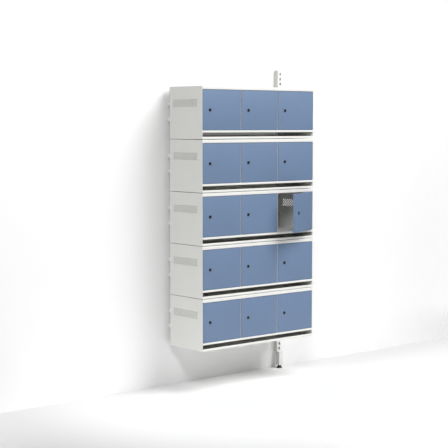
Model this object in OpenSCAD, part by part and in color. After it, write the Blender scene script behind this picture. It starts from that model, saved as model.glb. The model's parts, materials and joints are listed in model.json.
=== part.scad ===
/* [Bank] */
// Modules stacked one above the other
rows = 5; // [2:1:5]
// Doors side by side in a module
columns = 3; // [2:1:3]
// Outer width of a module
bank_w = 1000; // [700:10:1300]
// Outer depth of a module, doors included
bank_d = 350; // [260:10:450]
// Slot pitch of the wall post
rail_pitch = 35; // [30:1:45]
// Height of a module, in slot pitches
module_pitches = 10; // [9:1:13]
// Height of the lowest module above the floor
floor_clear = 280; // [220:5:400]
// Seam between two modules
seam = 3.5; // [0.5:0.5:6]
// Sheet steel of the casing
sheet = 1.5; // [1:0.1:2.5]

/* [Front] */
// White strip above the doors
top_strip = 22; // [18:1:35]
// White strip on the shelf's front edge
shelf_strip = 14; // [10:1:25]
// Clear height of the cable slot under the doors
slot_open = 27.5; // [15:0.5:45]
// Turned-up lip of the bottom tray
tray_lip = 15; // [8:1:25]
// Turned-up lip at the bottom tray's back, under the cables' way out
rear_lip = 22; // [10:1:40]
// Depth of the top strip's lower return, which carries the hinge pins
strip_return = 20; // [19:1:30]
// Depth of the folded hems on the shelf's strip and the tray's lip
hem = 10; // [5:1:15]
// Dividers' front edge behind the doors' face
divider_back = 2; // [1:0.5:4]

/* [Doors] */
// Thickness of a door
door_t = 18; // [14:1:22]
// Sheet steel of a door
door_skin = 1.5; // [1:0.1:2]
// Gap at a door's free edge
gap_free = 3; // [1:0.5:5]
// Gap at a door's hinge edge
gap_hinge = 1; // [0.5:0.5:3]
// Gap above and below a door
gap_end = 2; // [1:0.5:4]
// Width of the turned-in lips on a door's back
door_lip = 14; // [8:1:25]
// Row of the door that stands ajar, counted from the top
ajar_row = 3; // [1:1:5]
// Column of the door that stands ajar, counted from the left
ajar_column = 3; // [1:1:3]
// Angle at which that door stands
ajar_angle = 25.5; // [0:0.5:60]
// Radius of a hinge pin
pin_r = 3; // [2:0.5:4]
// Length of a hinge pin inside the door
pin_in_door = 10; // [6:1:14]
// Clearance at the end of a hinge pin
pin_end_gap = 1; // [0.5:0.5:2]
// Radial clearance of turning fits
running = 0.05; // [0.02:0.01:0.1]

/* [Locks] */
// Lock axis from the door's free edge
lock_from_edge = 59; // [45:1:80]
// Radius of the lock's head
lock_head_r = 10; // [8:0.5:13]
// How far the lock's head stands proud of the door
lock_head_t = 3; // [2:0.5:5]
// Radius of the lock's barrel
lock_barrel_r = 8; // [6:0.5:9]
// Wall of the barrel's housing on the door's back
lock_housing_wall = 3; // [2:0.5:5]
// Clearance between the cam's tip and the compartment's side
cam_tip_gap = 9; // [6:1:14]
// Width of the cam
cam_w = 14; // [10:1:20]
// Thickness of the cam
cam_t = 3; // [2:0.5:4]
// Clearance in depth between door, strike and cam
cam_gap = 2; // [1:0.5:4]
// Radius of the screw that holds the cam
cam_screw_r = 5; // [4:0.5:6]
// Head of the screw that holds the cam
cam_screw_t = 3; // [2:0.5:4]
// Width of the strike that the cam closes behind
strike_reach = 20; // [15:1:30]
// Height of the strike
strike_h = 60; // [40:1:90]
// Depth of the strike's foot on the wall
strike_foot = 14; // [10:1:25]

/* [Vents] */
// Radius of a vent hole
vent_r = 4; // [2:0.5:5]
// Full rows of holes
vent_rows = 3; // [1:1:4]
// Pitch of the holes along a row
vent_pitch = 22; // [16:1:24]
// Pitch of the full rows
vent_row_pitch = 20; // [18:1:24]
// First hole behind the front
vent_front_margin = 62; // [50:1:90]
// Least distance from the last hole to the back
vent_back_margin = 40; // [30:1:80]
// First full row below the module's top
vent_drop = 90; // [60:1:130]

/* [Post] */
// Width and depth of the wall post
post_w = 40; // [36:1:60]
// Wall of the post and the leg
post_wall = 2; // [1.5:0.5:3]
// Slot width, for the hooks of two neighbouring banks
slot_w = 14; // [13:0.5:18]
// Slot height
slot_h = 20; // [16:1:24]
// Corner radius of a slot
slot_corner = 0.5; // [0.5:0.5:3]
// First slot centre below a module's top
slot_phase = 30; // [25:1:32]
// Free slots above the bank
free_above = 4; // [2:1:6]
// Free slots below the bank
free_below = 4; // [2:1:6]
// Post above its last slot centre
post_top_margin = 27.5; // [15:0.5:35]
// Post below its last slot centre
post_end_margin = 22.5; // [15:0.5:30]
// Radius of a wall fixing hole
wall_hole_r = 4.5; // [3:0.5:6]
// Slots from each end of the post to its outer wall fixing
outer_fixing = 1; // [0:1:2]
// Slots from each end of the post to its inner wall fixing
inner_fixing = 19; // [12:1:22]

/* [Hooks] */
// Height of a hook's neck
hook_neck = 12; // [8:1:15]
// Drop of a hook's tongue below its neck
hook_drop = 12; // [6:1:15]
// How far a hook reaches behind the module
hook_out = 15; // [10:1:20]
// Clearance between a hook's tongue and the post's wall
hook_gap = 0.5; // [0.2:0.1:1]
// Clearance between a hook and the side of its slot
hook_side_gap = 0.5; // [0.2:0.1:1]
// Slot, counted from a module's top, that takes the upper hook
upper_hook_slot = 2; // [1:1:3]
// Slots between the two hooks of a side
hook_span = 3; // [2:1:4]

/* [Leg and foot] */
// How far the leg stands forward of the post, to clear a skirting board
leg_forward = 22; // [15:1:28]
// Thickness of the leg's end plates
leg_plate = 5; // [4:1:8]
// Height of the spigot inside the post
spigot_h = 45; // [30:5:45]
// Clearance of the spigot inside the post
spigot_gap = 1; // [0.5:0.5:2]
// Radius of the foot's pad
pad_r = 20; // [16:1:30]
// Radius of the pad's neck
pad_neck_r = 10; // [8:1:14]
// Height of the pad
pad_h = 20; // [16:1:30]
// Height of the pad's straight rim
pad_rim = 4; // [2:1:6]
// Radius of the foot's threaded stem
stem_r = 5; // [4:0.5:7]
// Stem above the pad
stem_h = 70; // [50:5:90]
// Depth of the stem's seat in the pad
stem_seat = 10; // [6:1:14]
// Clearance under the stem's end
seat_gap = 0.3; // [0.2:0.1:1]
// Radial clearance where the stem's thread stands in the leg
thread_gap = 0.1; // [0.05:0.01:0.2]
// Gap between the pad and the leg
foot_gap = 3; // [2:0.5:10]

/* [Charging] */
// Width of a charging outlet
outlet_w = 76; // [60:1:100]
// Height of a charging outlet
outlet_h = 44; // [36:1:60]
// Depth of a charging outlet
outlet_d = 22; // [18:1:30]
// Charging outlet's centre below the module's top
outlet_drop = 80; // [60:1:120]
// Radius of a grommet's hole
grommet_r = 9; // [6:0.5:12]
// Radius of a grommet's body
grommet_body_r = 12.5; // [11:0.5:16]
// Radius of a grommet's rims
grommet_rim_r = 16; // [15:0.5:20]
// Thickness of a grommet's rims
grommet_rim_t = 1.5; // [1:0.5:2]
// Grommet's centre from the compartment's left side and back
grommet_inset = 34; // [25:1:45]

/* [Hidden] */
$fn = 48;
white = [0.9, 0.9, 0.88];
blue = [0.2, 0.27, 0.4];
black = [0.03, 0.03, 0.03];
zinc = [0.62, 0.63, 0.64];
// Overrun of a cutting tool past the faces that it cuts
cut = 1;
// Mouth of a USB socket, its depth, and the spacing of an outlet's two sockets
usb_mouth = [13, 6];
usb_depth = 9;
usb_spacing = 30;

// Module
module_pitch = module_pitches * rail_pitch;
module_h = module_pitch - seam;
cell_w = (bank_w - (columns + 1) * sheet) / columns;
door_open_h = module_h - top_strip - shelf_strip - slot_open - tray_lip;
shelf_drop = top_strip + door_open_h;

// Door, whose own frame stands on the hinge axis at the door's lower edge
door_w = cell_w - gap_free - gap_hinge;
door_h = door_open_h - 2 * gap_end;
hinge_r = door_t / 2;
leaf_w = door_w - hinge_r;
housing_r = lock_barrel_r + lock_housing_wall;
strike_y = door_t + cam_gap;
cam_y = strike_y + sheet + cam_gap;
cam_reach = gap_free + lock_from_edge - cam_tip_gap;

// Places: the origin is on the wall behind the post, midway between its ends' fixings
slot_count = free_above + rows * module_pitches + free_below;
top_slot_z = (slot_count - 1) / 2 * rail_pitch;
bank_top = top_slot_z + slot_phase - free_above * rail_pitch;
post_top = top_slot_z + post_top_margin;
post_end = -top_slot_z - post_end_margin;
floor_z = bank_top - rows * module_pitch - floor_clear;
right_x = -(slot_w / 2 - hook_side_gap - sheet);
left_x = right_x - bank_w;
back_y = -post_w;
front_y = back_y - bank_d;
leg_end = floor_z + pad_h + foot_gap;

function top_z(r) = bank_top - (r - 1) * module_pitch;
function tray_z(r) = top_z(r) - module_h;
function shelf_z(r) = top_z(r) - shelf_drop;
function cell_x(c) = left_x + sheet + (c - 1) * (cell_w + sheet);
function hinge_x(c) = cell_x(c) + cell_w - gap_hinge - hinge_r;
function slot_z(i) = (i - (slot_count - 1) / 2) * rail_pitch;
function rest_angle(r, c) = r == ajar_row && c == ajar_column ? ajar_angle : 0;

module box(low, high) {
    translate(low) cube(high - low);
}

// A disc or bar along Y, from y0 to y1
module bar_y(r, y0, y1) {
    translate([0, y0, 0]) rotate([-90, 0, 0]) cylinder(r = r, h = y1 - y0);
}

// Puts a door's own parts on the hinge axis of row r, column c
module at_door(r, c) {
    translate([hinge_x(c), front_y + hinge_r, shelf_z(r) + gap_end])
        rotate([0, 0, rest_angle(r, c)])
            children();
}

module at_lock() {
    translate([lock_from_edge - leaf_w, -hinge_r, door_h / 2]) children();
}

module door_pan() {
    low = [-leaf_w, -hinge_r, 0];
    box(low, [0, -hinge_r + door_skin, door_h]);
    box(low, [-leaf_w + door_skin, hinge_r, door_h]);
    box(low, [0, hinge_r, door_skin]);
    box([low.x, low.y, door_h - door_skin], [0, hinge_r, door_h]);
}

module door_lips() {
    y0 = hinge_r - door_skin;
    box([-leaf_w, y0, 0], [-leaf_w + door_lip, hinge_r, door_h]);
    box([-door_lip, y0, 0], [0, hinge_r, door_h]);
    box([-leaf_w, y0, 0], [0, hinge_r, door_lip]);
    box([-leaf_w, y0, door_h - door_lip], [0, hinge_r, door_h]);
}

// A rolled tube round the hinge axis, with a solid plug at each end for the pins
module door_stile() {
    difference() {
        cylinder(r = hinge_r, h = door_h);
        translate([0, 0, pin_in_door])
            cylinder(r = hinge_r - door_skin, h = door_h - 2 * pin_in_door);
    }
}

module door() {
    color(blue) difference() {
        union() {
            difference() {
                union() {
                    door_pan();
                    door_lips();
                }
                translate([0, 0, door_skin])
                    cylinder(r = hinge_r - door_skin / 2, h = door_h - 2 * door_skin);
            }
            door_stile();
            at_lock() bar_y(housing_r, door_skin / 2, door_t + cam_gap);
        }
        for (z = [-cut, door_h - pin_in_door])
            translate([0, 0, z]) cylinder(r = pin_r + running, h = pin_in_door + cut);
        at_lock() bar_y(lock_barrel_r + running, -cut, door_t + cam_gap + cut);
    }
}

module lock() {
    color(black) {
        bar_y(lock_head_r, -lock_head_t, 0);
        bar_y(lock_barrel_r, -lock_head_t, cam_y);
        bar_y(cam_w / 2, cam_y, cam_y + cam_t);
        box([-cam_w / 2, cam_y, -cam_reach], [cam_w / 2, cam_y + cam_t, 0]);
        bar_y(cam_screw_r, cam_y, cam_y + cam_t + cam_screw_t);
    }
}

module vent_holes(x0, x1) {
    half_rows = vent_rows - 1;
    vent_columns = floor((bank_d - vent_front_margin - vent_back_margin) / vent_pitch) + 1;
    translate([x0, front_y + vent_front_margin, -vent_drop]) rotate([0, 90, 0]) {
        for (i = [0:vent_rows - 1], j = [0:vent_columns - 1])
            translate([i * vent_row_pitch, j * vent_pitch, 0])
                cylinder(r = vent_r, h = x1 - x0, $fn = 24);
        for (i = [0:1:half_rows - 1], j = [0:vent_columns - 2])
            translate([(i + 0.5) * vent_row_pitch, (j + 0.5) * vent_pitch, 0])
                cylinder(r = vent_r, h = x1 - x0, $fn = 24);
    }
}

// A hook whose neck sits on the lower edge of the slot that it hangs in
module hook(x0) {
    y1 = back_y + hook_out;
    box([x0, back_y - sheet, 0], [x0 + sheet, y1, hook_neck]);
    box([x0, back_y + post_wall + hook_gap, -hook_drop], [x0 + sheet, y1, cut]);
}

module side_panels(r) {
    color(white) for (x0 = [left_x, right_x - sheet]) {
        difference() {
            box([x0, front_y + sheet, tray_z(r)], [x0 + sheet, back_y, top_z(r)]);
            translate([0, 0, top_z(r)]) vent_holes(x0 - cut, x0 + sheet + cut);
        }
        for (i = [upper_hook_slot, upper_hook_slot + hook_span])
            translate([0, 0, top_z(r) - slot_phase - i * rail_pitch - slot_h / 2]) hook(x0);
    }
}

// A sheet between the sides, folded down over the full width at its front
module folded_sheet(z, front_low, front_high) {
    box([left_x + sheet, front_y, z], [right_x - sheet, back_y - sheet, z + sheet]);
    box([left_x, front_y, front_low], [right_x, front_y + sheet, front_high]);
}

module front_hem(z, depth) {
    box([left_x + sheet, front_y, z], [right_x - sheet, front_y + depth, z + sheet]);
}

module pin_holes(z) {
    for (c = [1:columns])
        translate([hinge_x(c), front_y + hinge_r, z - cut])
            cylinder(r = pin_r, h = sheet + 2 * cut);
}

module top_panel(r) {
    z = top_z(r);
    color(white) difference() {
        union() {
            folded_sheet(z - sheet, z - top_strip, z);
            front_hem(z - top_strip, strip_return);
        }
        pin_holes(z - top_strip);
    }
}

module at_grommets(r) {
    for (c = [1:columns])
        translate([cell_x(c) + grommet_inset, back_y - sheet - grommet_inset, shelf_z(r)])
            children();
}

module shelf(r) {
    z = shelf_z(r);
    color(white) difference() {
        union() {
            folded_sheet(z - sheet, z - shelf_strip, z);
            front_hem(z - shelf_strip, hem);
        }
        pin_holes(z - sheet);
        at_grommets(r) translate([0, 0, -sheet - cut])
            cylinder(r = grommet_body_r, h = sheet + 2 * cut);
    }
}

module bottom_tray(r) {
    z = tray_z(r);
    lip_z = z + tray_lip;
    color(white) {
        folded_sheet(z, z, lip_z);
        front_hem(lip_z - sheet, hem);
        box([left_x + sheet, back_y - sheet, z], [right_x - sheet, back_y, z + rear_lip]);
    }
}

module dividers() {
    color(white) for (r = [1:rows], c = [2:columns]) {
        x0 = cell_x(c) - sheet;
        strip_z = top_z(r) - top_strip;
        box([x0, front_y + divider_back, shelf_z(r)], [x0 + sheet, back_y - sheet, strip_z]);
        box([x0, front_y + strip_return, strip_z - cut],
            [x0 + sheet, back_y - sheet, top_z(r) - sheet]);
    }
}

module back_panels() {
    color(white) for (r = [1:rows])
        box([left_x + sheet, back_y - sheet, shelf_z(r) - sheet],
            [right_x - sheet, back_y, top_z(r)]);
}

module strike_plates() {
    color(zinc) for (r = [1:rows], c = [1:columns]) {
        z0 = shelf_z(r) + (door_open_h - strike_h) / 2;
        y0 = front_y + strike_y;
        translate([cell_x(c), y0, z0]) {
            cube([strike_reach, sheet, strike_h]);
            cube([sheet, strike_foot, strike_h]);
        }
    }
}

// A lower pin stands in the shelf, and an upper one hangs in the top strip's return
module hinge_pins() {
    reach = gap_end + pin_in_door - pin_end_gap;
    color(zinc) for (r = [1:rows], c = [1:columns])
        translate([hinge_x(c), front_y + hinge_r, 0]) {
            translate([0, 0, shelf_z(r) - sheet]) cylinder(r = pin_r, h = sheet + reach);
            translate([0, 0, top_z(r) - top_strip - reach])
                cylinder(r = pin_r, h = sheet + reach);
        }
}

module charging_outlets() {
    color(white) for (r = [1:rows], c = [1:columns])
        translate([cell_x(c) + cell_w / 2, back_y - sheet, top_z(r) - outlet_drop])
            difference() {
                box([-outlet_w / 2, -outlet_d, -outlet_h / 2], [outlet_w / 2, 0, outlet_h / 2]);
                for (x = [-usb_spacing / 2, usb_spacing / 2])
                    translate([x - usb_mouth.x / 2, -outlet_d - cut, -usb_mouth.y / 2])
                        cube([usb_mouth.x, usb_depth + cut, usb_mouth.y]);
            }
}

module cable_grommets() {
    rim_low = -sheet - grommet_rim_t;
    color(black) for (r = [1:rows]) at_grommets(r) rotate_extrude() {
        translate([grommet_r, rim_low])
            square([grommet_body_r - grommet_r, sheet + 2 * grommet_rim_t]);
        for (z = [rim_low, 0])
            translate([grommet_r, z]) square([grommet_rim_r - grommet_r, grommet_rim_t]);
    }
}

module slot_outline() {
    flat = [slot_w / 2 - slot_corner, slot_h / 2 - slot_corner];
    square([slot_w, 2 * flat.y], center = true);
    square([2 * flat.x, slot_h], center = true);
    for (x = [-flat.x, flat.x], z = [-flat.y, flat.y])
        translate([x, z]) circle(r = slot_corner, $fn = 16);
}

// Cuts slot i through the post's front and on to a depth behind it
module slot_cutter(i, depth) {
    translate([0, back_y + depth + cut, slot_z(i)]) rotate([90, 0, 0])
        linear_extrude(depth + 2 * cut) slot_outline();
}

module square_tube(w, z0, z1) {
    inner = w / 2 - post_wall;
    difference() {
        box([-w / 2, -w / 2, z0], [w / 2, w / 2, z1]);
        box([-inner, -inner, z0 - cut], [inner, inner, z1 + cut]);
    }
}

module wall_post() {
    color(white) difference() {
        translate([0, -post_w / 2, 0]) square_tube(post_w, post_end, post_top);
        for (i = [0:slot_count - 1]) slot_cutter(i, post_wall);
        for (i = [outer_fixing, inner_fixing], side = [-1, 1])
            translate([0, 0, side * slot_z(i)]) bar_y(wall_hole_r, -post_wall - cut, cut);
    }
}

module leg_extension() {
    leg_y = back_y - leg_forward;
    plate_z = post_end - leg_plate;
    spigot_w = post_w - 2 * (post_wall + spigot_gap);
    color(white) {
        difference() {
            union() {
                translate([0, leg_y + post_w / 2, 0]) square_tube(post_w, leg_end, post_end);
                box([-post_w / 2, leg_y, leg_end], [post_w / 2, leg_y + post_w, leg_end + leg_plate]);
            }
            translate([0, leg_y + post_w / 2, leg_end - cut])
                cylinder(r = stem_r + thread_gap, h = leg_plate + 2 * cut);
        }
        box([-post_w / 2, leg_y, plate_z], [post_w / 2, 0, post_end]);
        difference() {
            translate([0, -post_w / 2, 0])
                square_tube(spigot_w, post_end - leg_plate / 2, post_end + spigot_h);
            slot_cutter(0, 2 * post_wall + spigot_gap);
        }
    }
}

module at_foot() {
    translate([0, -leg_forward - post_w / 2, floor_z]) children();
}

module foot_stem() {
    bottom = pad_h - stem_seat + seat_gap;
    color(zinc) at_foot() translate([0, 0, bottom])
        cylinder(r = stem_r, h = pad_h + stem_h - bottom);
}

module foot_pad() {
    color(black) at_foot() difference() {
        union() {
            cylinder(r = pad_r, h = pad_rim);
            translate([0, 0, pad_rim])
                cylinder(r1 = pad_r, r2 = pad_neck_r, h = pad_h - pad_rim);
        }
        translate([0, 0, pad_h - stem_seat]) cylinder(r = stem_r + running, h = stem_seat + cut);
    }
}

// Every node's name, each compartment's door and lock numbered by row and column
function by_cell(name) = [for (r = [1:rows], c = [1:columns]) str(name, "_r", r, "c", c)];
function by_row(name) = [for (r = [1:rows]) str(name, "_r", r)];

for (r = [1:rows], c = [1:columns]) {
    at_door(r, c) door();
    at_door(r, c) at_lock() lock();
}
for (r = [1:rows]) {
    side_panels(r);
    top_panel(r);
    shelf(r);
    bottom_tray(r);
}
dividers();
back_panels();
strike_plates();
hinge_pins();
charging_outlets();
cable_grommets();
wall_post();
leg_extension();
foot_stem();
foot_pad();
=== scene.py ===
import json
import math

import bpy
from mathutils import Matrix, Vector


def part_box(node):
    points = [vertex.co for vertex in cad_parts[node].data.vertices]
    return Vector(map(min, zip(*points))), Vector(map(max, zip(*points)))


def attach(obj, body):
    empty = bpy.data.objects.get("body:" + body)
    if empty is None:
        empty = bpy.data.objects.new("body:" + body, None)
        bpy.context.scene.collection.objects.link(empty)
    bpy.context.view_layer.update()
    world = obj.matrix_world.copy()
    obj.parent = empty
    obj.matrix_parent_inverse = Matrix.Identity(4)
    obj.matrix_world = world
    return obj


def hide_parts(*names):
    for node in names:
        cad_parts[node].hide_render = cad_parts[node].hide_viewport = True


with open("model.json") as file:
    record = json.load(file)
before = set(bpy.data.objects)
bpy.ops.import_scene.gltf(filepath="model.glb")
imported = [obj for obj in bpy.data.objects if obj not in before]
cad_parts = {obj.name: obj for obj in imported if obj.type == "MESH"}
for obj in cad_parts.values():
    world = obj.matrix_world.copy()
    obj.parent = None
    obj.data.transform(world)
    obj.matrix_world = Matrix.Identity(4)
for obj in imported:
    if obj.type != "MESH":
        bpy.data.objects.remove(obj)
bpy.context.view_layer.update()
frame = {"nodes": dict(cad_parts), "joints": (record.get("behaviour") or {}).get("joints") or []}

ROWS, COLUMNS = 5, 3
CELLS = [(r, c) for r in range(1, ROWS + 1) for c in range(1, COLUMNS + 1)]

# Sheet steel and its folds
SHEET = 0.0015
FOLD_R = 0.0024
HEM = 0.010
DOOR_LIP = 0.014
STRIP_RETURN = 0.020
TOP_STRIP = 0.022
SHELF_STRIP = 0.014
TRAY_LIP = 0.015
REAR_LIP = 0.022

# Door lock, measured from the door's face along its axis
LOCK_FROM_EDGE = 0.059
HEAD_T = 0.003
HOUSING_END = 0.020
CAM_Y = 0.0235
CAM_T = 0.003
CAM_W = 0.014
CAM_REACH = 0.053

# Hinge pins
PIN_R = 0.003
PIN_REACH = 0.011
PIN_GAP = 0.002

# Cable grommets and the holes they sit in
GROMMET_GROOVE_R = 0.0125
GROMMET_BORE_R = 0.0090
GROMMET_RIM_R = 0.0160

# Post and foot
TUBE_WALL = 0.002
TUBE_ROUND = 0.003
SLOTS = 58
SLOT_HALF_W = 0.007
SLOT_HALF_H = 0.010
WALL_HOLE_R = 0.0045
WALL_HOLES_FROM_ENDS = (1, 19)
PAD_H = 0.020
STEM_R = 0.005
STEM_PITCH = 0.0015

# Places read from the frame
JOINTS = {j["name"]: j for j in frame["joints"]}
HINGES = {cell: Vector(JOINTS["door_r%dc%d_swing" % cell]["pos_m"]) for cell in CELLS}
TRAY_LOW, TRAY_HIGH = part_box("bottom_tray_r1")
DOOR_LOW, DOOR_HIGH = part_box("door_r1c1")
FRONT_Y = TRAY_LOW.y
BACK_Y = TRAY_HIGH.y
LEFT_X, RIGHT_X = TRAY_LOW.x, TRAY_HIGH.x
ROW_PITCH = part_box("top_panel_r1")[1].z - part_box("top_panel_r2")[1].z
DOOR_PITCH = HINGES[1, 2].x - HINGES[1, 1].x
HINGE_R = DOOR_HIGH.x - HINGES[1, 1].x
LEAF_W = HINGES[1, 1].x - DOOR_LOW.x
DOOR_H = DOOR_HIGH.z - DOOR_LOW.z
FLOOR_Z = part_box("foot_pad")[0].z
FOOT = Vector(JOINTS["foot_turn"]["pos_m"])


def top_z(row):
    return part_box("top_panel_r%d" % row)[1].z


def shelf_z(row):
    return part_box("shelf_r%d" % row)[1].z


def rest_turn(cell):
    """How far a door stands open at rest, in radians."""
    return -math.radians(JOINTS["door_r%dc%d_swing" % cell]["range_deg"][0])


def door_place(cell):
    """From a door's own frame, on its hinge axis at its lower edge, to the row frame."""
    foot = HINGES[cell] + Vector((0, 0, PIN_GAP))
    return Matrix.Translation(foot) @ Matrix.Rotation(rest_turn(cell), 4, "Z")


LOCK_PLACE = Matrix.Translation((LOCK_FROM_EDGE - LEAF_W, -HINGE_R, DOOR_H / 2))
ALONG_Y = Matrix.Rotation(-math.pi / 2, 4, "X")
TO_FRONT = Matrix.Rotation(math.pi / 2, 4, "X")
UPSIDE_DOWN = Matrix.Rotation(math.pi, 4, "X")


# ---- Modelling by operators ----


def take(obj):
    if bpy.context.mode != "OBJECT":
        bpy.ops.object.mode_set(mode="OBJECT")
    bpy.ops.object.select_all(action="DESELECT")
    obj.select_set(True)
    bpy.context.view_layer.objects.active = obj
    return obj


def settle(obj):
    take(obj)
    bpy.ops.object.transform_apply(location=True, rotation=True, scale=True)
    return obj


def named(name):
    obj = bpy.context.object
    obj.name = obj.data.name = name
    return obj


def block(name, low, high):
    low, high = Vector(low), Vector(high)
    bpy.ops.object.select_all(action="DESELECT")
    bpy.ops.mesh.primitive_cube_add(size=1, location=(low + high) / 2)
    obj = named(name)
    obj.scale = high - low
    return settle(obj)


def rod(name, radius, start, length, sides=32):
    """A round bar standing on start, along Z."""
    bpy.ops.object.select_all(action="DESELECT")
    middle = Vector(start) + Vector((0, 0, length / 2))
    bpy.ops.mesh.primitive_cylinder_add(
        vertices=sides, radius=radius, depth=length, location=middle)
    return settle(named(name))


def edit(obj, mode):
    take(obj)
    bpy.ops.object.mode_set(mode="EDIT")
    bpy.ops.mesh.select_mode(type=mode)
    bpy.ops.mesh.select_all(action="DESELECT")


def done():
    bpy.ops.object.mode_set(mode="OBJECT")


def pick_faces(obj, wanted):
    edit(obj, "FACE")
    done()
    for face in obj.data.polygons:
        face.select = wanted(face.center, face.normal)
    bpy.ops.object.mode_set(mode="EDIT")


def pick_edges(obj, wanted):
    edit(obj, "EDGE")
    done()
    points = obj.data.vertices
    for edge in obj.data.edges:
        a, b = edge.vertices
        edge.select = wanted(points[a].co, points[b].co)
    bpy.ops.object.mode_set(mode="EDIT")


def pick_all(obj):
    edit(obj, "VERT")
    bpy.ops.mesh.select_all(action="SELECT")


def near(a, b):
    return abs(a - b) < 1e-5


def apply(obj, kind, **settings):
    take(obj)
    modifier = obj.modifiers.new(kind, kind)
    for key, value in settings.items():
        setattr(modifier, key, value)
    bpy.ops.object.modifier_apply(modifier=modifier.name)
    return obj


def ease_edges(obj, width, segments=2, angle=40):
    return apply(obj, "BEVEL", width=width, segments=segments, limit_method="ANGLE",
                 angle_limit=math.radians(angle), use_clamp_overlap=True)


def thicken(obj, thickness):
    return apply(obj, "SOLIDIFY", thickness=thickness, offset=-1, use_even_offset=True)


def cut_out(obj, cutter):
    apply(obj, "BOOLEAN", object=cutter, operation="DIFFERENCE", solver="EXACT")
    bpy.data.objects.remove(cutter)
    return obj


def smooth(obj):
    take(obj)
    bpy.ops.object.shade_smooth_by_angle(angle=math.radians(35))
    return obj


def copied(source, name, place=Matrix.Identity(4)):
    obj = bpy.data.objects.new(name, source.data.copy())
    obj.data.name = name
    obj.data.transform(place)
    bpy.context.scene.collection.objects.link(obj)
    return obj


def joined(name, parts):
    bpy.ops.object.select_all(action="DESELECT")
    for part in parts:
        part.select_set(True)
    bpy.context.view_layer.objects.active = parts[0]
    bpy.ops.object.join()
    return named(name)


def repeated(source, name, places):
    """Copies of source at each place, in one piece; source itself goes."""
    copies = [copied(source, name, place) for place in places]
    bpy.data.objects.remove(source)
    return joined(name, copies)


def turned(name, profile, sides=40):
    """A turned shape about Z from (radius, height) points. A profile that comes back
    to its start makes a ring; any other is capped at both ends."""
    radius, height = profile[0]
    bpy.ops.object.select_all(action="DESELECT")
    bpy.ops.mesh.primitive_circle_add(vertices=sides, radius=radius, location=(0, 0, height))
    obj = settle(named(name))
    pick_all(obj)
    bpy.ops.mesh.select_mode(type="EDGE")
    for next_radius, next_height in profile[1:]:
        bpy.ops.mesh.extrude_region_move(
            TRANSFORM_OT_translate={"value": (0, 0, next_height - height)})
        grow = next_radius / radius
        bpy.ops.transform.resize(
            value=(grow, grow, 1), center_override=(0, 0, next_height))
        radius, height = next_radius, next_height
    bpy.ops.mesh.select_all(action="SELECT")
    bpy.ops.mesh.remove_doubles(threshold=1e-6)
    bpy.ops.mesh.select_all(action="SELECT")
    bpy.ops.mesh.fill_holes(sides=0)
    bpy.ops.mesh.select_all(action="SELECT")
    bpy.ops.mesh.normals_make_consistent(inside=False)
    done()
    return obj


def from_cad(node, name, ease):
    """A copy of a CAD node, merged and cleaned, with its sharp edges eased."""
    obj = copied(frame["nodes"][node], name)
    pick_all(obj)
    bpy.ops.mesh.customdata_custom_splitnormals_clear()
    bpy.ops.mesh.remove_doubles(threshold=1e-5)
    bpy.ops.mesh.dissolve_limited(angle_limit=math.radians(1))
    done()
    obj.data.materials.clear()
    return ease_edges(obj, ease, 1)


# ---- Finishes ----


def shader_of(material):
    material.use_nodes = True
    tree = material.node_tree
    return tree, tree.nodes["Principled BSDF"]


def object_noise(tree, scale, detail=3.0, roughness=0.5):
    place = tree.nodes.new("ShaderNodeTexCoord")
    noise = tree.nodes.new("ShaderNodeTexNoise")
    noise.inputs["Scale"].default_value = scale
    noise.inputs["Detail"].default_value = detail
    noise.inputs["Roughness"].default_value = roughness
    tree.links.new(place.outputs["Object"], noise.inputs["Vector"])
    return noise.outputs["Fac"]


def ramp(tree, value, stops):
    """A colour ramp between two (position, colour) stops."""
    node = tree.nodes.new("ShaderNodeValToRGB")
    for element, (position, colour) in zip(node.color_ramp.elements, stops):
        element.position = position
        element.color = (*colour, 1)
    tree.links.new(value, node.inputs["Fac"])
    return node.outputs["Color"]


def spread(tree, value, low, high):
    node = tree.nodes.new("ShaderNodeMapRange")
    node.inputs["To Min"].default_value = low
    node.inputs["To Max"].default_value = high
    tree.links.new(value, node.inputs["Value"])
    return node.outputs["Result"]


def bump(tree, shader, height, distance, strength=1.0, after=None):
    node = tree.nodes.new("ShaderNodeBump")
    node.inputs["Distance"].default_value = distance
    node.inputs["Strength"].default_value = strength
    tree.links.new(height, node.inputs["Height"])
    if after:
        tree.links.new(after.outputs["Normal"], node.inputs["Normal"])
    tree.links.new(node.outputs["Normal"], shader.inputs["Normal"])
    return node


def shaded(colour, share):
    return tuple(channel * share for channel in colour)


def powder_coat(name, colour, gloss_low, gloss_high, peel=0.00004, uneven=0.02):
    """Baked powder coat: orange peel, faint clouding and a fine sparkle in the gloss."""
    material = bpy.data.materials.new(name)
    tree, shader = shader_of(material)
    clouds = object_noise(tree, 6, 4, 0.6)
    tone = ramp(tree, clouds, [
        (0.3, shaded(colour, 1 - uneven)), (0.7, shaded(colour, 1 + uneven))])
    tree.links.new(tone, shader.inputs["Base Color"])
    gloss = object_noise(tree, 60, 5, 0.6)
    tree.links.new(spread(tree, gloss, gloss_low, gloss_high), shader.inputs["Roughness"])
    grain = bump(tree, shader, object_noise(tree, 2400, 2), 0.00001, 0.5)
    bump(tree, shader, object_noise(tree, 420, 2), peel, 0.6, grain)
    return material


def moulded_plastic(name, colour, gloss_low, gloss_high):
    material = bpy.data.materials.new(name)
    tree, shader = shader_of(material)
    clouds = object_noise(tree, 25, 4)
    tone = ramp(tree, clouds, [(0.3, shaded(colour, 0.92)), (0.7, shaded(colour, 1.08))])
    tree.links.new(tone, shader.inputs["Base Color"])
    gloss = object_noise(tree, 300, 3)
    tree.links.new(spread(tree, gloss, gloss_low, gloss_high), shader.inputs["Roughness"])
    bump(tree, shader, object_noise(tree, 1800, 2), 0.00002, 0.5)
    return material


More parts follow.
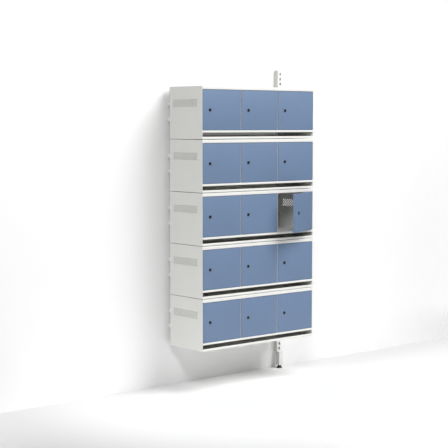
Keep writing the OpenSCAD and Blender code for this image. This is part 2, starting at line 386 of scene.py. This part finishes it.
def plated_steel(name, colour, gloss_low, gloss_high):
    """Zinc plate: its crystals show as soft patches of tone and gloss."""
    material = bpy.data.materials.new(name)
    tree, shader = shader_of(material)
    shader.inputs["Metallic"].default_value = 1
    place = tree.nodes.new("ShaderNodeTexCoord")
    crystals = tree.nodes.new("ShaderNodeTexVoronoi")
    crystals.inputs["Scale"].default_value = 350
    tree.links.new(place.outputs["Object"], crystals.inputs["Vector"])
    tone = ramp(tree, crystals.outputs["Distance"],
                [(0.0, shaded(colour, 1.08)), (0.8, shaded(colour, 0.86))])
    tree.links.new(tone, shader.inputs["Base Color"])
    gloss = object_noise(tree, 500, 4)
    tree.links.new(spread(tree, gloss, gloss_low, gloss_high), shader.inputs["Roughness"])
    bump(tree, shader, object_noise(tree, 900, 3), 0.00001, 0.5)
    return material


CASING_WHITE = powder_coat("casing_white_powder_coat", (0.80, 0.80, 0.775), 0.42, 0.55)
DOOR_BLUE = powder_coat("door_blue_powder_coat", (0.146, 0.217, 0.343), 0.50, 0.60)
POST_WHITE = powder_coat("post_white_powder_coat", (0.78, 0.78, 0.76), 0.36, 0.48)
LOCK_BLACK = moulded_plastic("lock_black_lacquer", (0.012, 0.012, 0.013), 0.22, 0.36)
ZINC = plated_steel("zinc_plated_steel", (0.58, 0.59, 0.60), 0.26, 0.42)
OUTLET_WHITE = moulded_plastic("outlet_white_plastic", (0.72, 0.72, 0.70), 0.35, 0.5)
TONGUE_BLACK = moulded_plastic("socket_tongue_plastic", (0.02, 0.02, 0.022), 0.4, 0.5)
LAMP_GREEN = moulded_plastic("status_lamp_plastic", (0.10, 0.32, 0.14), 0.12, 0.2)
RUBBER = moulded_plastic("grommet_rubber", (0.022, 0.022, 0.023), 0.6, 0.8)
FOOT_BLACK = moulded_plastic("foot_black_plastic", (0.014, 0.014, 0.015), 0.4, 0.55)
SEAL_WHITE = moulded_plastic("hinge_washer_nylon", (0.66, 0.66, 0.62), 0.4, 0.55)


def finished(obj, body, material, nodes=()):
    """Gives a piece its finish and its body, and hides the CAD nodes that it stands for."""
    obj.data.materials.clear()
    obj.data.materials.append(material)
    smooth(obj)
    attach(obj, body)
    if nodes:
        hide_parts(*nodes)
    return obj


# ---- Casing ----


def folded_panel(name, path):
    """A sheet folded along X, still without thickness, and the lines of its folds.
    path is its outer line as (y, z), from the back of its level sheet."""
    (y0, z0), (y1, z1) = path[:2]
    if not near(z0, z1):
        raise ValueError("a folded panel starts with its level sheet")
    bpy.ops.object.select_all(action="DESELECT")
    middle = ((LEFT_X + RIGHT_X) / 2, (y0 + y1) / 2, z0)
    bpy.ops.mesh.primitive_plane_add(size=1, location=middle)
    obj = named(name)
    obj.scale = (RIGHT_X - LEFT_X, abs(y1 - y0), 1)
    settle(obj)
    pick_edges(obj, lambda a, b: near(a.y, y1) and near(b.y, y1))
    for (y_from, z_from), (y_to, z_to) in zip(path[1:], path[2:]):
        bpy.ops.mesh.extrude_region_move(
            TRANSFORM_OT_translate={"value": (0, y_to - y_from, z_to - z_from)})
    for x in (LEFT_X + SHEET, RIGHT_X - SHEET):
        bpy.ops.mesh.select_all(action="SELECT")
        bpy.ops.mesh.bisect(plane_co=(x, 0, 0), plane_no=(1, 0, 0))
    done()
    return obj, path[1:-1]


def fold_and_thicken(obj, folds):
    """Rounds the folds and trims all but the front strip to fit between the side panels."""
    for y, z in folds:
        pick_edges(obj, lambda a, b: near(a.y, y) and near(b.y, y)
                   and near(a.z, z) and near(b.z, z))
        bpy.ops.mesh.bevel(offset=FOLD_R, segments=4, profile=0.5, affect="EDGES")
        done()
    pick_faces(obj, lambda c, n: not LEFT_X + SHEET < c.x < RIGHT_X - SHEET
               and c.y > FRONT_Y + SHEET / 2)
    bpy.ops.mesh.delete(type="FACE")
    done()
    front = [f for f in obj.data.polygons if near(f.center.y, FRONT_Y)]
    if front[0].normal.y > 0:
        pick_all(obj)
        bpy.ops.mesh.flip_normals()
        done()
    thicken(obj, SHEET)
    return obj


def pin_cutter(z, length):
    pins = [rod("pin_cutter", PIN_R + 0.0001, (HINGES[1, c].x, HINGES[1, c].y, z), length, 24)
            for c in range(1, COLUMNS + 1)]
    return joined("pin_cutter", pins)


def top_panel(row):
    z = top_z(row)
    obj, folds = folded_panel("top_panel_%d" % row, [
        (BACK_Y - SHEET, z), (FRONT_Y, z), (FRONT_Y, z - TOP_STRIP),
        (FRONT_Y + STRIP_RETURN, z - TOP_STRIP)])
    fold_and_thicken(obj, folds)
    cut_out(obj, pin_cutter(z - TOP_STRIP - SHEET, 3 * SHEET))
    finished(obj, "cabinet", CASING_WHITE, ["top_panel_r%d" % row])


def grommet_places(row):
    """The grommets' centres, from the CAD node's own box: one per compartment."""
    low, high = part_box("cable_grommets")
    radius = (high.x - low.x - (HINGES[1, 3].x - HINGES[1, 1].x)) / 2
    y = high.y - radius
    x = low.x + radius
    return [Vector((x + i * DOOR_PITCH, y, shelf_z(row))) for i in range(COLUMNS)]


def shelf(row):
    z = shelf_z(row)
    obj, folds = folded_panel("shelf_%d" % row, [
        (BACK_Y - SHEET, z), (FRONT_Y, z), (FRONT_Y, z - SHELF_STRIP),
        (FRONT_Y + HEM, z - SHELF_STRIP)])
    fold_and_thicken(obj, folds)
    below = Vector((0, 0, 2 * SHEET))
    holes = [rod("grommet_cutter", GROMMET_GROOVE_R, place - below, 3 * SHEET)
             for place in grommet_places(row)]
    cut_out(obj, joined("shelf_cutter", [pin_cutter(z - 2 * SHEET, 3 * SHEET), *holes]))
    finished(obj, "cabinet", CASING_WHITE, ["shelf_r%d" % row])


def bottom_tray(row):
    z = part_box("bottom_tray_r%d" % row)[0].z
    obj, folds = folded_panel("bottom_tray_%d" % row, [
        (BACK_Y, z), (FRONT_Y, z), (FRONT_Y, z + TRAY_LIP), (FRONT_Y + HEM, z + TRAY_LIP)])
    pick_edges(obj, lambda a, b: near(a.y, BACK_Y) and near(b.y, BACK_Y))
    bpy.ops.mesh.extrude_region_move(TRANSFORM_OT_translate={"value": (0, 0, REAR_LIP)})
    done()
    fold_and_thicken(obj, [*folds, (BACK_Y, z)])
    finished(obj, "cabinet", CASING_WHITE, ["bottom_tray_r%d" % row])


def plain_sheets():
    for row in range(1, ROWS + 1):
        sides = from_cad("side_panels_r%d" % row, "side_panels_%d" % row, 0.0003)
        finished(sides, "cabinet", CASING_WHITE, ["side_panels_r%d" % row])
    for node in ("dividers", "back_panels"):
        sheets = from_cad(node, node + "_sheets", 0.0003)
        finished(sheets, "cabinet", CASING_WHITE, [node])
    strikes = from_cad("strike_plates", "strike_brackets", 0.0004)
    finished(strikes, "cabinet", ZINC, ["strike_plates"])


def back_rivets():
    """Blind rivets that hold each back panel to the top panel and the shelf."""
    rivets_in_line, from_side = 7, 0.04
    spacing = (RIGHT_X - LEFT_X - 2 * from_side) / (rivets_in_line - 1)
    head = turned("rivet", [(0.0030, 0), (0.0030, 0.0002), (0.0024, 0.0007), (0.0012, 0.0009),
                            (0.0010, 0.0006)], 16)
    places = []
    for row in range(1, ROWS + 1):
        for z in (top_z(row) - 0.010, shelf_z(row) + 0.008):
            for i in range(rivets_in_line):
                x = LEFT_X + from_side + i * spacing
                places.append(Matrix.Translation((x, BACK_Y, z)) @ ALONG_Y)
    finished(repeated(head, "back_rivets", places), "cabinet", ZINC)


# ---- Doors and locks ----


def door_leaf():
    """A folded pan round the hinge axis: half-round hinge edge, open back with lips."""
    pan = block("door_leaf", (-LEAF_W, -HINGE_R, 0), (HINGE_R, HINGE_R, DOOR_H))
    pick_edges(pan, lambda a, b: near(a.x, HINGE_R) and near(b.x, HINGE_R) and not near(a.z, b.z))
    bpy.ops.mesh.bevel(offset=HINGE_R * 0.999, segments=8, profile=0.5, affect="EDGES")
    pick_faces(pan, lambda c, n: n.y > 0.999 and c.x < 0)
    bpy.ops.mesh.inset(thickness=DOOR_LIP)
    bpy.ops.mesh.delete(type="FACE")
    done()
    ease_edges(pan, FOLD_R, 4, 60)
    thicken(pan, SHEET)
    lock_hole = rod("lock_cutter", 0.0081, (0, 0, -0.002), 0.008)
    lock_hole.data.transform(LOCK_PLACE @ ALONG_Y)
    pins = rod("pin_cutter", PIN_R + 0.00005, (0, 0, -0.001), DOOR_H + 0.002, 24)
    return cut_out(pan, joined("door_cutter", [lock_hole, pins]))


def lock_bezel():
    """The fixed ring round the lock's plug, on the door's face."""
    ring = turned("lock_bezel", [
        (0.0100, 0), (0.0100, -0.0021), (0.0096, -0.0027), (0.0089, -HEAD_T), (0.0079, -HEAD_T),
        (0.0074, -0.0028), (0.0071, -0.0023), (0.0071, 0), (0.0100, 0)])
    ring.data.transform(LOCK_PLACE @ ALONG_Y)
    return ring


def lock_sleeve():
    """The lock's threaded sleeve behind the door sheet, with its hexagon nut."""
    pitch, root, crest = 0.0015, 0.0101, 0.0107
    start = SHEET
    count = int((HOUSING_END - start) / pitch)
    thread = [(0.0080, start)]
    for i in range(count):
        thread += [(root, start + i * pitch), (crest, start + (i + 0.5) * pitch)]
    thread += [(root, HOUSING_END), (0.0080, HOUSING_END), (0.0080, start)]
    sleeve = turned("lock_sleeve", thread, 32)
    nut = turned("lock_nut", [
        (0.0145, 0.0021), (0.0152, 0.0028), (0.0152, 0.0052), (0.0145, 0.0059),
        (0.0108, 0.0059), (0.0108, 0.0021), (0.0145, 0.0021)], 6)
    washer = turned("lock_washer", [
        (0.0160, SHEET), (0.0160, 0.0020), (0.0108, 0.0020), (0.0108, SHEET), (0.0160, SHEET)])
    part = joined("lock_sleeve", [sleeve, nut, washer])
    part.data.transform(LOCK_PLACE @ ALONG_Y)
    return part


def lock_plug():
    """The part that turns: the plug with its keyway, and the core behind it."""
    plug = turned("lock_plug", [
        (0.0062, -0.0027), (0.0067, -0.0026), (0.0069, -0.0023), (0.0069, 0.0002),
        (0.0078, 0.0003), (0.0078, 0.0228), (0.0074, 0.0232), (0.0060, 0.0232),
        (0.0060, CAM_Y)])
    key_slot = block("key_slot", (-0.0009, -0.0044, -0.0040), (0.0009, 0.0044, 0.0010))
    pick_edges(key_slot, lambda a, b: near(a.x, b.x) and near(a.y, b.y))
    bpy.ops.mesh.bevel(offset=0.0006, segments=2, affect="EDGES")
    done()
    key_round = rod("key_round", 0.0016, (0, 0.0012, -0.0040), 0.0042, 20)
    cut_out(plug, key_slot)
    cut_out(plug, key_round)
    plug.data.transform(LOCK_PLACE @ ALONG_Y)
    return plug


def lock_cam():
    """A flat steel cam with round ends, and the screw and washer that hold it."""
    half_w = CAM_W / 2
    cam = block("lock_cam", (-half_w, CAM_Y, -CAM_REACH), (half_w, CAM_Y + CAM_T, half_w))
    pick_edges(cam, lambda a, b: near(a.x, b.x) and near(a.z, b.z))
    bpy.ops.mesh.bevel(offset=half_w * 0.98, segments=6, affect="EDGES")
    done()
    ease_edges(cam, 0.0004)
    screw = turned("cam_screw", [
        (0.0050, CAM_Y + CAM_T), (0.0050, 0.0272), (0.0045, 0.0274), (0.0044, 0.0284),
        (0.0038, 0.0291), (0.0026, 0.0295)], 32)
    for half_x, half_y in ((0.0026, 0.0005), (0.0005, 0.0026)):
        cross = block("cross_cutter", (-half_x, -half_y, 0.0278), (half_x, half_y, 0.0300))
        cut_out(screw, cross)
    screw.data.transform(ALONG_Y)
    part = joined("lock_cam", [cam, screw])
    part.data.transform(LOCK_PLACE)
    return part


def doors():
    leaf, bezel, sleeve = door_leaf(), lock_bezel(), lock_sleeve()
    plug, cam = lock_plug(), lock_cam()
    for cell in CELLS:
        place, mark = door_place(cell), "r%dc%d" % cell
        door, lock = "door_" + mark, "lock_" + mark
        finished(copied(leaf, "leaf_" + mark, place), door, DOOR_BLUE, [door])
        finished(copied(bezel, "lock_bezel_" + mark, place), door, LOCK_BLACK)
        finished(copied(sleeve, "lock_sleeve_" + mark, place), door, ZINC)
        finished(copied(plug, "lock_plug_" + mark, place), lock, LOCK_BLACK,
                 [lock])
        finished(copied(cam, "lock_cam_" + mark, place), lock, ZINC, [lock])
    for source in (leaf, bezel, sleeve, plug, cam):
        bpy.data.objects.remove(source)


def hinge_pins():
    """Shouldered pins, a lower one in the shelf and an upper one in the strip's return."""
    pin = turned("hinge_pin", [
        (0.0026, -SHEET), (PIN_R, -SHEET + 0.0004), (PIN_R, PIN_REACH - 0.0008),
        (0.0022, PIN_REACH)], 24)
    washer = turned("hinge_washer", [
        (0.0070, 0.0001), (0.0072, 0.0004), (0.0072, 0.0013), (0.0070, 0.0016),
        (PIN_R, 0.0016), (PIN_R, 0.0001), (0.0070, 0.0001)], 32)
    places = []
    for cell in CELLS:
        hinge = HINGES[cell]
        upper = top_z(cell[0]) - TOP_STRIP
        places.append(Matrix.Translation(hinge))
        places.append(Matrix.Translation((hinge.x, hinge.y, upper)) @ UPSIDE_DOWN)
    finished(repeated(pin, "hinge_pin_set", places), "cabinet", ZINC,
             ["hinge_pins"])
    finished(repeated(washer, "hinge_washers", places), "cabinet", SEAL_WHITE)


# ---- Charging ----


def outlet_places():
    low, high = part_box("charging_outlets")
    left = low.x + (high.x - low.x - (COLUMNS - 1) * DOOR_PITCH) / 2
    top = high.z - (high.z - low.z - (ROWS - 1) * ROW_PITCH) / 2
    return [Matrix.Translation((left + (c - 1) * DOOR_PITCH, high.y,
                                top - (r - 1) * ROW_PITCH)) for r, c in CELLS]


def charging_outlets():
    """Outlets with two USB sockets, a status lamp and two screws each."""
    half_w, half_h, depth = 0.038, 0.022, 0.022
    socket_w, socket_h, socket_d, spacing = 0.013, 0.006, 0.009, 0.030
    tongue_half_w, lamp_z, screw_x = 0.0049, 0.0135, 0.031
    places = outlet_places()
    housing = block("outlet", (-half_w, -depth, -half_h), (half_w, 0, half_h))
    pick_edges(housing, lambda a, b: near(a.x, b.x) and near(a.z, b.z))
    bpy.ops.mesh.bevel(offset=0.005, segments=5, affect="EDGES")
    pick_faces(housing, lambda c, n: n.y < -0.9)
    bpy.ops.mesh.bevel(offset=0.0018, segments=3, affect="EDGES")
    pick_faces(housing, lambda c, n: n.y < -0.999)
    bpy.ops.mesh.inset(thickness=0.0022)
    bpy.ops.mesh.inset(thickness=0.0004, depth=-0.0007)
    done()
    face_y = -depth + 0.0007
    mouths, shells, tongues = [], [], []
    for x in (-spacing / 2, spacing / 2):
        low = Vector((x - socket_w / 2, -depth - 0.002, -socket_h / 2))
        high = Vector((x + socket_w / 2, -depth + socket_d, socket_h / 2))
        mouths.append(block("mouth", low, high))
        shell = block("shell", (low.x, face_y + 0.0001, low.z), high)
        pick_faces(shell, lambda c, n: n.y < -0.9)
        bpy.ops.mesh.delete(type="FACE")
        done()
        shells.append(thicken(shell, 0.0004))
        tongue = block("tongue", (x - tongue_half_w, -depth + 0.0024, 0.0002),
                       (x + tongue_half_w, high.y - 0.0004, 0.0019))
        tongues.append(ease_edges(tongue, 0.0003))
    cut_out(housing, joined("mouth_cutter", mouths))
    lamp = turned("lamp", [(0.0019, 0), (0.0019, 0.0006), (0.0015, 0.0011), (0.0008, 0.0013)], 20)
    lamp.data.transform(Matrix.Translation((0, face_y, lamp_z)) @ TO_FRONT)
    screw = turned("outlet_screw", [
        (0.0030, 0), (0.0030, 0.0003), (0.0024, 0.0009), (0.0012, 0.0012)], 20)
    slot = block("screw_slot", (-0.0035, -0.0004, 0.0007), (0.0035, 0.0004, 0.0020))
    cut_out(screw, slot)
    screws = repeated(screw, "outlet_screw", [
        Matrix.Translation((x, face_y, 0)) @ TO_FRONT for x in (-screw_x, screw_x)])
    finished(repeated(housing, "outlet_housings", places), "cabinet", OUTLET_WHITE,
             ["charging_outlets"])
    finished(repeated(joined("shell", shells), "socket_shells", places), "cabinet", ZINC)
    finished(repeated(joined("tongue", tongues), "socket_tongues", places), "cabinet",
             TONGUE_BLACK)
    finished(repeated(lamp, "status_lamps", places), "cabinet", LAMP_GREEN)
    finished(repeated(screws, "outlet_screws", places), "cabinet", ZINC)


def cable_grommets():
    """Rubber bushes in the shelves, with rounded rims above and below the sheet."""
    rim = turned("grommet", [
        (GROMMET_BORE_R, -0.0024), (0.0096, -0.0030), (0.0150, -0.0030),
        (GROMMET_RIM_R, -0.0026), (GROMMET_RIM_R, -0.0018), (0.0156, -SHEET),
        (GROMMET_GROOVE_R, -SHEET), (GROMMET_GROOVE_R, 0), (0.0156, 0),
        (GROMMET_RIM_R, 0.0003), (GROMMET_RIM_R, 0.0011), (0.0150, 0.0015), (0.0096, 0.0015),
        (GROMMET_BORE_R, 0.0009), (GROMMET_BORE_R, -0.0024)])
    places = [Matrix.Translation(place) for row in range(1, ROWS + 1)
              for place in grommet_places(row)]
    finished(repeated(rim, "grommet_set", places), "cabinet", RUBBER,
             ["cable_grommets"])


# ---- Post, leg and foot ----


def square_tube(name, low, high):
    """A tube open at both ends, standing along Z, with rounded corners."""
    tube = block(name, low, high)
    pick_edges(tube, lambda a, b: not near(a.z, b.z))
    bpy.ops.mesh.bevel(offset=TUBE_ROUND, segments=4, affect="EDGES")
    pick_faces(tube, lambda c, n: abs(n.z) > 0.9)
    bpy.ops.mesh.delete(type="FACE")
    done()
    return thicken(tube, TUBE_WALL)


SLOT_PITCH = ROW_PITCH / 10
LOWEST_SLOT_Z = -(SLOTS - 1) / 2 * SLOT_PITCH


def slot_cutter(depth):
    """The cutter for one slot at height 0, from the post's front face to a depth behind it."""
    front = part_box("wall_post")[0].y
    slot = block("slot_cutter", (-SLOT_HALF_W, front - 0.002, -SLOT_HALF_H),
                 (SLOT_HALF_W, front + depth, SLOT_HALF_H))
    pick_edges(slot, lambda a, b: near(a.x, b.x) and near(a.z, b.z))
    bpy.ops.mesh.bevel(offset=0.002, segments=3, affect="EDGES")
    done()
    return slot


def wall_post():
    """The slotted upright, with four wall fixing holes in its back."""
    post = square_tube("post_tube", *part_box("wall_post"))
    places = [Matrix.Translation((0, 0, LOWEST_SLOT_Z + i * SLOT_PITCH)) for i in range(SLOTS)]
    cut_out(post, repeated(slot_cutter(0.004), "slot_cutters", places))
    hole = rod("hole_cutter", WALL_HOLE_R, (0, 0, -0.005), 0.010, 24)
    hole.data.transform(ALONG_Y)
    heights = [side * (LOWEST_SLOT_Z + i * SLOT_PITCH)
               for i in WALL_HOLES_FROM_ENDS for side in (-1, 1)]
    cut_out(post, repeated(hole, "hole_cutters", [Matrix.Translation((0, 0, z)) for z in heights]))
    finished(post, "cabinet", POST_WHITE, ["wall_post"])


def leg_extension():
    """A square leg hung under the post by a cranked plate, with a spigot inside the post."""
    low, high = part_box("leg_extension")
    post_low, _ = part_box("wall_post")
    plate_t, spigot_w = 0.005, 0.034
    depth = high.x - low.x
    leg = square_tube("leg", (low.x, low.y, low.z + plate_t),
                      (high.x, low.y + depth, post_low.z - plate_t))
    crank = block("crank_plate", (low.x, low.y, post_low.z - plate_t), (high.x, 0, post_low.z))
    base = block("base_plate", (low.x, low.y, low.z), (high.x, low.y + depth, low.z + plate_t))
    for plate in (crank, base):
        pick_edges(plate, lambda a, b: not near(a.z, b.z))
        bpy.ops.mesh.bevel(offset=TUBE_ROUND, segments=4, affect="EDGES")
        done()
        ease_edges(plate, 0.0005)
    thread = rod("thread_cutter", STEM_R + 0.0001, (0, FOOT.y, low.z - 0.001), plate_t + 0.002)
    cut_out(base, thread)
    middle = -depth / 2
    spigot = square_tube("spigot", (-spigot_w / 2, middle - spigot_w / 2, post_low.z),
                         (spigot_w / 2, middle + spigot_w / 2, high.z))
    slot = slot_cutter(0.007)
    slot.data.transform(Matrix.Translation((0, 0, LOWEST_SLOT_Z)))
    cut_out(spigot, slot)
    finished(joined("leg_weldment", [leg, crank, base, spigot]), "cabinet", POST_WHITE,
             ["leg_extension"])


def foot_pad():
    """A conical moulded foot with sunk panels between its ribs."""
    sides, sides_per_panel = 48, 6
    pad = turned("levelling_pad", [
        (0.0184, 0), (0.0196, 0.0004), (0.0200, 0.0012), (0.0200, 0.0034), (0.0194, 0.0042),
        (0.0184, 0.0056), (0.0120, 0.0166), (0.0106, 0.0185), (0.0100, 0.0194),
        (0.0092, PAD_H), (0.0058, PAD_H), (0.00505, 0.0194), (0.00505, 0.0100)], sides)
    share = 2 * math.pi / sides

    def sunk(centre, normal):
        step = round((math.atan2(centre.y, centre.x) % (2 * math.pi)) / share - 0.5)
        on_rib = step % sides_per_panel in (0, sides_per_panel - 1)
        return 0.006 < centre.z < 0.016 and normal.z > 0.2 and not on_rib

    pick_faces(pad, sunk)
    bpy.ops.mesh.inset(thickness=0.0005, depth=-0.0009)
    done()
    pad.data.transform(Matrix.Translation((FOOT.x, FOOT.y, FLOOR_Z)))
    finished(pad, "foot_pad", FOOT_BLACK, ["foot_pad"])


def foot_stem():
    """A threaded stem: a core with a real helical thread round it."""
    low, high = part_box("foot_stem")
    length = high.z - low.z
    core = turned("stem_core", [
        (0.0034, 0), (0.0043, 0.0010), (0.0043, length - 0.0010), (0.0034, length)], 24)
    bpy.ops.object.select_all(action="DESELECT")
    bpy.ops.mesh.primitive_circle_add(vertices=3, radius=0.00062, fill_type="NOTHING",
                                      rotation=(math.pi / 2, math.pi / 2, 0))
    thread = settle(named("stem_thread"))
    reach = max(v.co.x for v in thread.data.vertices)
    thread.data.transform(Matrix.Translation((STEM_R - reach, 0, 0.0015)))
    turns = int((length - 0.003) / STEM_PITCH)
    apply(thread, "SCREW", angle=2 * math.pi, screw_offset=STEM_PITCH, iterations=turns,
          steps=20, render_steps=20, axis="Z")
    pick_all(thread)
    bpy.ops.mesh.remove_doubles(threshold=1e-6)
    bpy.ops.mesh.select_all(action="SELECT")
    bpy.ops.mesh.fill_holes(sides=0)
    bpy.ops.mesh.select_all(action="SELECT")
    bpy.ops.mesh.normals_make_consistent(inside=False)
    done()
    stem = joined("levelling_stem", [core, thread])
    stem.data.transform(Matrix.Translation((FOOT.x, FOOT.y, low.z)))
    finished(stem, "foot_stem", ZINC, ["foot_stem"])


# ---- Studio ----

PAPER_R = 7
AMBIENT = 0.04
BACKDROP = 1.0
# Each light's name, place, aim, diameter and power in watts
LIGHTS = [
    ("key", (2.0, -4.5, 5.2), (-0.5, -0.2, 0), 5.0, 570),
    ("front_fill", (-4.6, -5.0, 4.2), (-0.5, -0.2, 0), 2.4, 200),
    ("side_fill", (-6.5, -1.0, 1.5), (-1.0, -0.2, 0), 1.6, 131),
    ("rear_fill", (0.3, 2.4, 5.2), (-0.5, 0, 0), 2.5, 85),
]
LENS_MM, SENSOR_MM = 99.54, 36
CAMERA_PLACE = (-6.0874, -6.6588, 0.6356)
CAMERA_TILT_DOWN, CAMERA_TURN = 4.586, -40.025


def fading_paper(name, colour, start, end):
    """Plain backdrop paper that fades out with distance from its own middle."""
    material = bpy.data.materials.new(name)
    tree, shader = shader_of(material)
    shader.inputs["Base Color"].default_value = (*colour, 1)
    shader.inputs["Roughness"].default_value = 0.8
    place = tree.nodes.new("ShaderNodeTexCoord")
    reach = tree.nodes.new("ShaderNodeVectorMath")
    reach.operation = "LENGTH"
    tree.links.new(place.outputs["Object"], reach.inputs[0])
    fade = tree.nodes.new("ShaderNodeMapRange")
    fade.interpolation_type = "SMOOTHSTEP"
    for key, value in (("From Min", start), ("From Max", end), ("To Min", 1), ("To Max", 0)):
        fade.inputs[key].default_value = value
    tree.links.new(reach.outputs["Value"], fade.inputs["Value"])
    tree.links.new(fade.outputs["Result"], shader.inputs["Alpha"])
    return material, fade, shader


def paper_sheet(name, material, place, turn):
    bpy.ops.object.select_all(action="DESELECT")
    bpy.ops.mesh.primitive_circle_add(vertices=96, radius=PAPER_R, fill_type="NGON",
                                      location=place, rotation=turn)
    sheet = named(name)
    sheet.data.materials.append(material)
    return sheet


def floor():
    material, _, _ = fading_paper("studio_floor", (0.90, 0.90, 0.90), 1.6, 4.0)
    paper_sheet("floor", material, (0, 0, FLOOR_Z), (0, 0, 0))


def wall():
    """A backdrop that shows from the front alone and throws no light or shadow, so that the
    bank's back can be seen and lit."""
    material, fade, shader = fading_paper("studio_wall", (0.9, 0.9, 0.9), 1.8, 3.0)
    tree = material.node_tree
    side = tree.nodes.new("ShaderNodeNewGeometry")
    front = tree.nodes.new("ShaderNodeMath")
    front.operation = "SUBTRACT"
    tree.links.new(fade.outputs["Result"], front.inputs[0])
    tree.links.new(side.outputs["Backfacing"], front.inputs[1])
    front.use_clamp = True
    tree.links.new(front.outputs["Value"], shader.inputs["Alpha"])
    sheet = paper_sheet("wall", material, (-0.5, 0.002, 0), (math.pi / 2, 0, 0))
    for ray in ("diffuse", "glossy", "transmission", "volume_scatter", "shadow"):
        setattr(sheet, "visible_" + ray, False)


def soft_light(name, place, aim, size, power):
    data = bpy.data.lights.new(name, "AREA")
    data.shape, data.size, data.energy = "DISK", size, power
    lamp = bpy.data.objects.new(name, data)
    lamp.location = place
    lamp.rotation_euler = (Vector(aim) - Vector(place)).to_track_quat("-Z", "Y").to_euler()
    bpy.context.scene.collection.objects.link(lamp)


def studio():
    world = bpy.data.worlds.new("studio")
    bpy.context.scene.world = world
    world.use_nodes = True
    tree = world.node_tree
    tree.nodes.clear()
    out = tree.nodes.new("ShaderNodeOutputWorld")
    mix = tree.nodes.new("ShaderNodeMixShader")
    path = tree.nodes.new("ShaderNodeLightPath")
    tree.links.new(path.outputs["Is Camera Ray"], mix.inputs["Fac"])
    for socket, strength in ((1, AMBIENT), (2, BACKDROP)):
        white = tree.nodes.new("ShaderNodeBackground")
        white.inputs["Color"].default_value = (1, 1, 1, 1)
        white.inputs["Strength"].default_value = strength
        tree.links.new(white.outputs["Background"], mix.inputs[socket])
    tree.links.new(mix.outputs["Shader"], out.inputs["Surface"])
    for light in LIGHTS:
        soft_light(*light)
    bpy.context.scene.view_settings.view_transform = "Standard"


def camera():
    data = bpy.data.cameras.new("camera")
    data.lens = LENS_MM
    data.sensor_width = SENSOR_MM
    view = bpy.data.objects.new("camera", data)
    view.location = CAMERA_PLACE
    view.rotation_euler = (math.radians(90 - CAMERA_TILT_DOWN), 0, math.radians(CAMERA_TURN))
    bpy.context.scene.collection.objects.link(view)
    bpy.context.scene.camera = view


camera()
studio()
floor()
wall()
for row in range(1, ROWS + 1):
    top_panel(row)
    shelf(row)
    bottom_tray(row)
plain_sheets()
back_rivets()
doors()
hinge_pins()
charging_outlets()
cable_grommets()
wall_post()
leg_extension()
foot_pad()
foot_stem()
